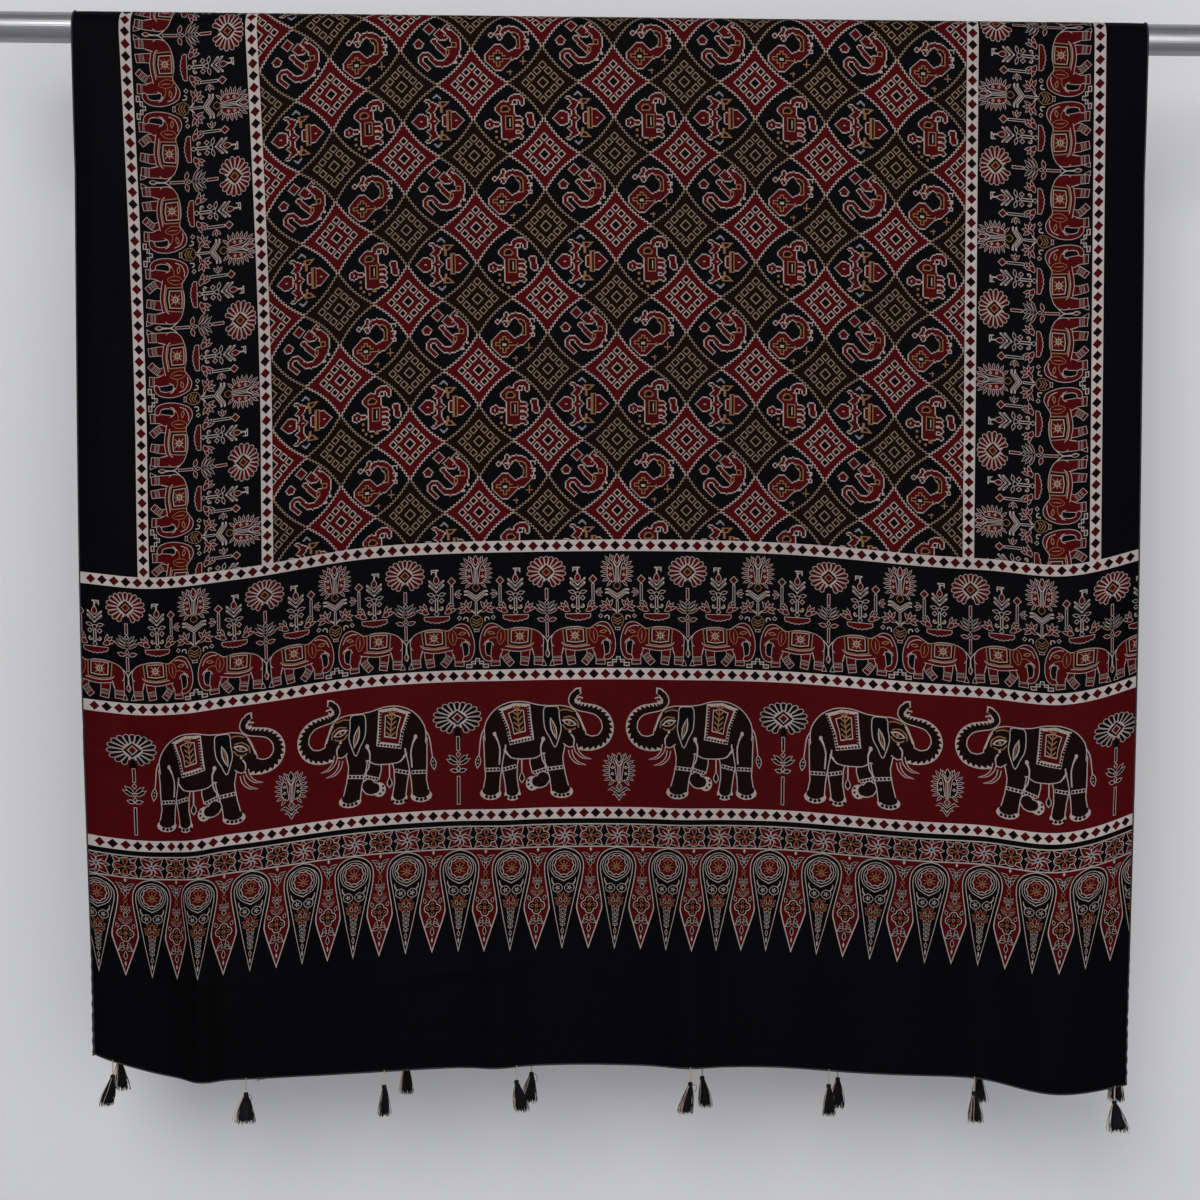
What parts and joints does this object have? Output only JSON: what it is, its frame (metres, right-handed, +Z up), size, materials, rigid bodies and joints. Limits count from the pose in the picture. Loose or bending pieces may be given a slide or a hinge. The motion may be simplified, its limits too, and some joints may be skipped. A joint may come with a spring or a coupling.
{
  "type": "printed silk dupatta over a steel rod",
  "caption": "Long printed silk shawl with tasselled hems, folded over a round steel rod and hanging in soft folds.",
  "frame": {"origin": "middle of the rod's axis", "axes": "+X along the rod, -Y towards the front fall of the cloth, +Z up"},
  "size_m": [1.31, 0.0624, 1.1732],
  "materials": {
    "rod_steel": "satin, drawn along its length",
    "printed_silk": "fine silk with a dull sheen, printed in black, madder red, brown, cream and gold",
    "tassel_thread": "soft black thread with a few beige strands"
  },
  "bodies": {
    "root": {"rod": "rod_steel", "cloth": "printed_silk", "tassel_front_1": "tassel_thread", "tassel_front_2": "tassel_thread", "tassel_front_3": "tassel_thread", "tassel_front_4": "tassel_thread", "tassel_front_5": "tassel_thread", "tassel_front_6": "tassel_thread", "tassel_front_7": "tassel_thread", "tassel_front_8": "tassel_thread", "tassel_back_1": "tassel_thread", "tassel_back_2": "tassel_thread", "tassel_back_3": "tassel_thread", "tassel_back_4": "tassel_thread", "tassel_back_5": "tassel_thread", "tassel_back_6": "tassel_thread", "tassel_back_7": "tassel_thread", "tassel_back_8": "tassel_thread"}
  },
  "joints": []
}
